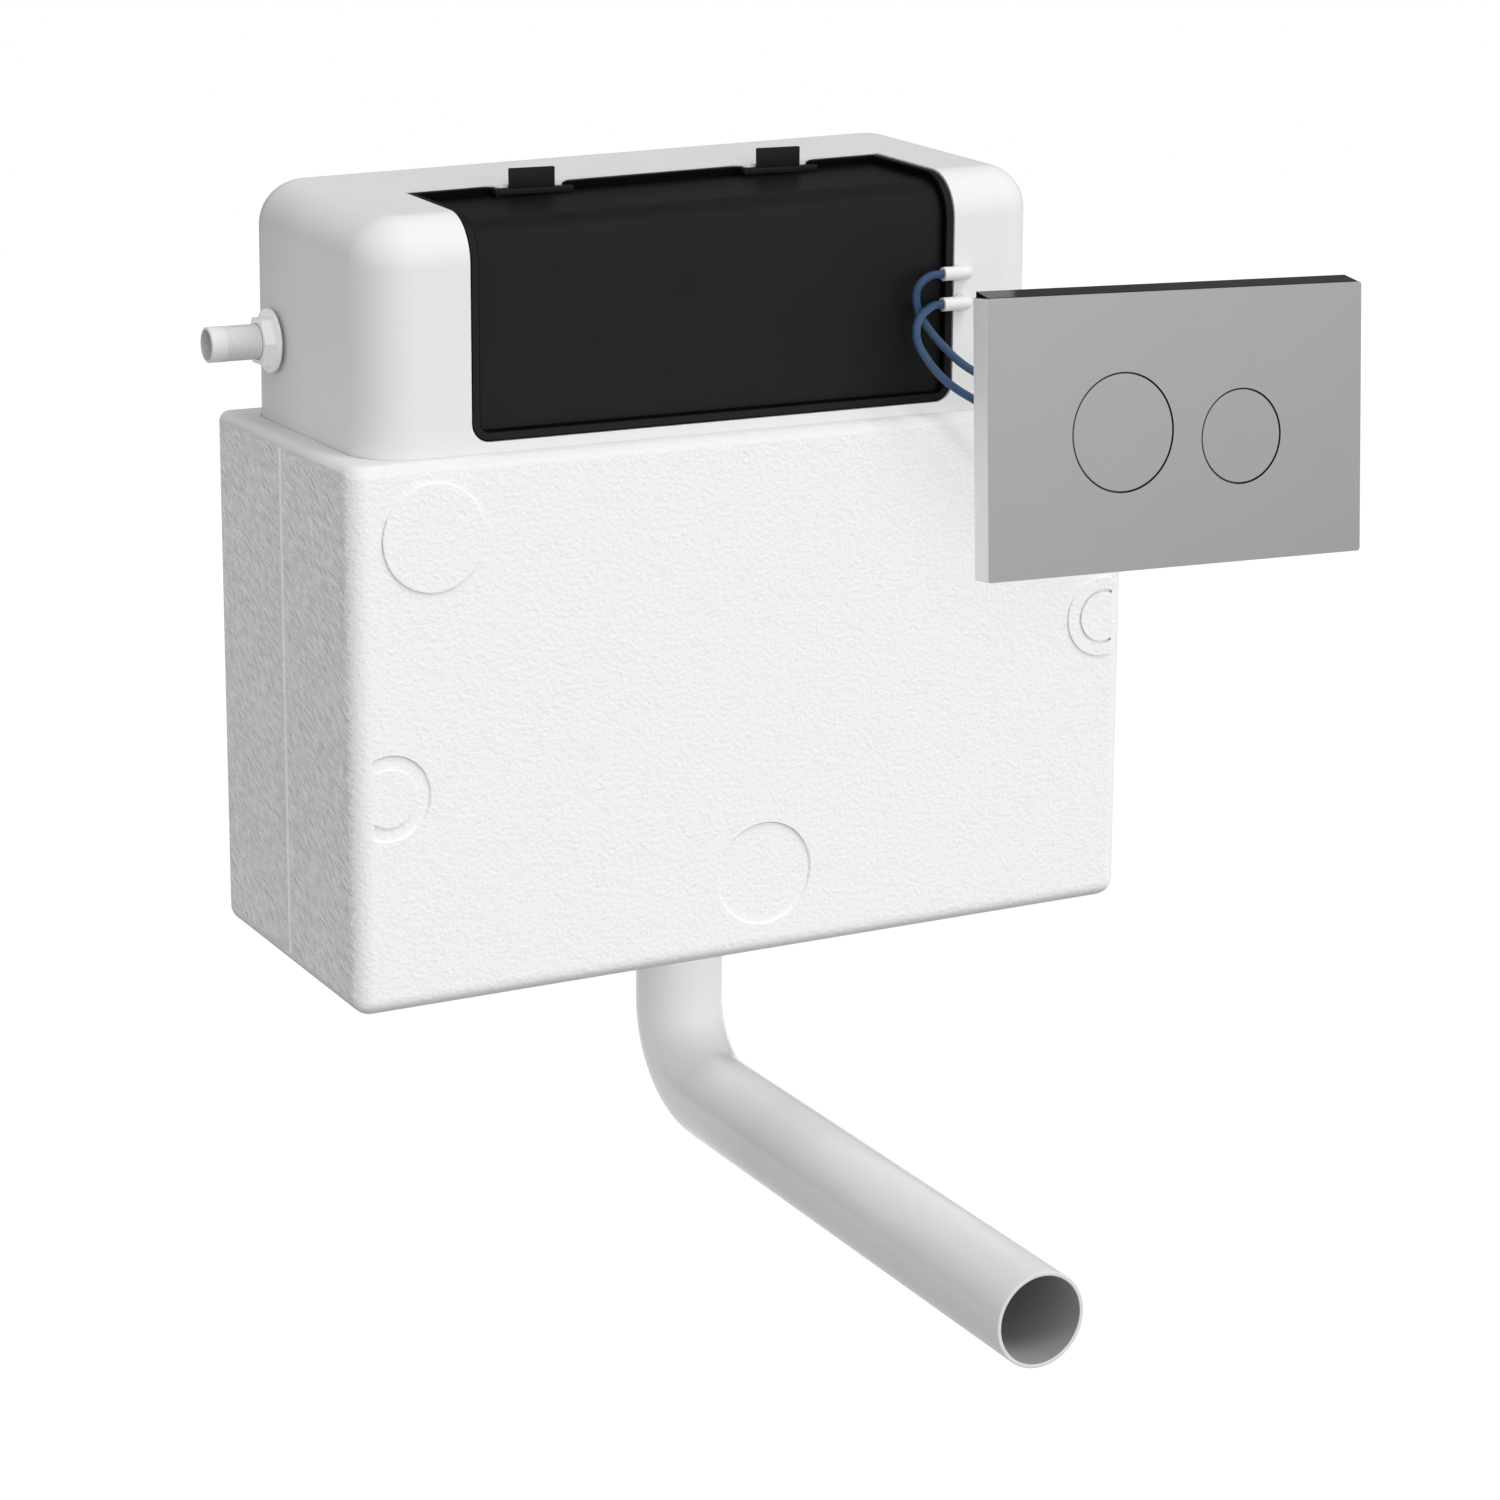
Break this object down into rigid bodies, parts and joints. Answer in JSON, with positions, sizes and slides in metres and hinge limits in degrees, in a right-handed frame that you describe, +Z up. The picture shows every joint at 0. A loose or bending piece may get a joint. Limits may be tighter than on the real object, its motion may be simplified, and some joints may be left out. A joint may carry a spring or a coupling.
{
  "type": "concealed dual-flush cistern",
  "caption": "Concealed toilet cistern: white tank in a foam jacket with a black access cover, side inlet, bent flush pipe and a remote flush plate on air tubes.",
  "frame": {"origin": "midway between the two wall fixing holes, on the wall plane", "axes": "+X along the width, to the right seen from the front; +Y into the wall; +Z up"},
  "size_m": [0.5346, 0.417, 0.4812],
  "materials": {
    "foam": "moulded foam with a fine grain",
    "tank_plastic": "soft sheen",
    "black_plastic": "satin",
    "white_plastic": "soft sheen",
    "grey_plastic": "moulded",
    "blue_plastic": "moulded",
    "pipe_plastic": "glossy",
    "rubber": "moulded",
    "blue_tube": "smooth",
    "steel": "bright",
    "satin_plate": "satin silver"
  },
  "bodies": {
    "shell": {"jacket_front": "foam", "jacket_back": "foam", "tank": "tank_plastic", "fill_valve_body": "white_plastic", "inlet_seal": "rubber", "inlet_nut": "white_plastic", "fill_diaphragm": "rubber", "fill_valve_cap": "blue_plastic", "fill_lever_pin": "steel", "drop_tube": "white_plastic", "valve_base": "white_plastic", "base_seal": "rubber", "back_nut": "white_plastic", "valve_cage": "white_plastic", "actuator_head": "white_plastic", "lever_pins": "steel", "full_bellows": "rubber", "half_bellows": "rubber", "flush_pipe": "pipe_plastic", "pipe_seal": "rubber", "pipe_nut": "white_plastic", "elbow_full": "white_plastic", "elbow_half": "white_plastic", "tube_full": "blue_tube", "tube_half": "blue_tube", "inner_tube_full": "blue_tube", "inner_tube_half": "blue_tube", "plate_face": "satin_plate", "plate_frame": "grey_plastic", "frame_screws": "steel"},
    "cover": {"access_cover": "black_plastic", "latch_left": "black_plastic", "latch_right": "black_plastic"},
    "full_plunger": {"full_plunger": "grey_plastic", "full_valve_seal": "rubber"},
    "half_plunger": {"overflow_tube": "white_plastic", "half_valve_seal": "rubber"},
    "full_lever": {"full_lever": "white_plastic"},
    "half_lever": {"half_lever": "white_plastic"},
    "full_cap": {"full_bellows_cap": "white_plastic"},
    "half_cap": {"half_bellows_cap": "white_plastic"},
    "full_button": {"full_button": "satin_plate", "full_pump_piston": "rubber"},
    "half_button": {"half_button": "satin_plate", "half_pump_piston": "rubber"},
    "float": {"fill_float": "white_plastic", "float_push_rod": "white_plastic"},
    "fill_lever": {"fill_lever": "white_plastic"}
  },
  "joints": [
    {"name": "full_button_press", "type": "slide", "parent": "shell", "child": "full_button", "axis": [-0.0021, 0.9963, -0.0854], "range_m": [0, 0.005], "stiffness_N_per_m": 400},
    {"name": "full_bellows_rise", "type": "slide", "parent": "shell", "child": "full_cap", "axis": [0, 0, 1], "range_m": [0, 0.005], "deforming": ["full_bellows"]},
    {"name": "full_lever_lift", "type": "hinge", "parent": "shell", "child": "full_lever", "pos_m": [0.062, -0.081, -0.056], "axis": [0, 1, 0], "range_deg": [0, 13.2]},
    {"name": "full_plunger_lift", "type": "slide", "parent": "shell", "child": "full_plunger", "axis": [0, 0, 1], "range_m": [0, 0.0144]},
    {"name": "half_button_press", "type": "slide", "parent": "shell", "child": "half_button", "axis": [-0.0021, 0.9963, -0.0854], "range_m": [0, 0.005], "stiffness_N_per_m": 400},
    {"name": "half_bellows_rise", "type": "slide", "parent": "shell", "child": "half_cap", "axis": [0, 0, 1], "range_m": [0, 0.005], "deforming": ["half_bellows"]},
    {"name": "half_lever_lift", "type": "hinge", "parent": "shell", "child": "half_lever", "pos_m": [-0.062, -0.081, -0.031], "axis": [0, -1, 0], "range_deg": [0, 13.2]},
    {"name": "half_plunger_lift", "type": "slide", "parent": "full_plunger", "child": "half_plunger", "axis": [0, 0, 1], "range_m": [0, 0.0144]},
    {"name": "float_rise", "type": "slide", "parent": "shell", "child": "float", "axis": [0, 0, 1], "range_m": [0, 0.01]},
    {"name": "fill_lever_tilt", "type": "hinge", "parent": "shell", "child": "fill_lever", "pos_m": [-0.168, -0.043, -0.011], "axis": [0, -1, 0], "range_deg": [0, 22.1]},
    {"name": "cover_lift_off", "type": "slide", "parent": "shell", "child": "cover", "axis": [0, 0, 1], "range_m": [0, 0.12]}
  ],
  "couplings": [
    {"joint": "full_bellows_rise", "follows": "full_button_press", "ratio": 0.98},
    {"joint": "full_lever_lift", "follows": "full_button_press", "rad_per_m": 45.553},
    {"joint": "full_plunger_lift", "follows": "full_button_press", "ratio": 2.86},
    {"joint": "half_bellows_rise", "follows": "half_button_press", "ratio": 0.98},
    {"joint": "half_lever_lift", "follows": "half_button_press", "rad_per_m": 45.553},
    {"joint": "half_plunger_lift", "follows": "half_button_press", "ratio": 2.86},
    {"joint": "fill_lever_tilt", "follows": "float_rise", "rad_per_m": 38.39}
  ]
}
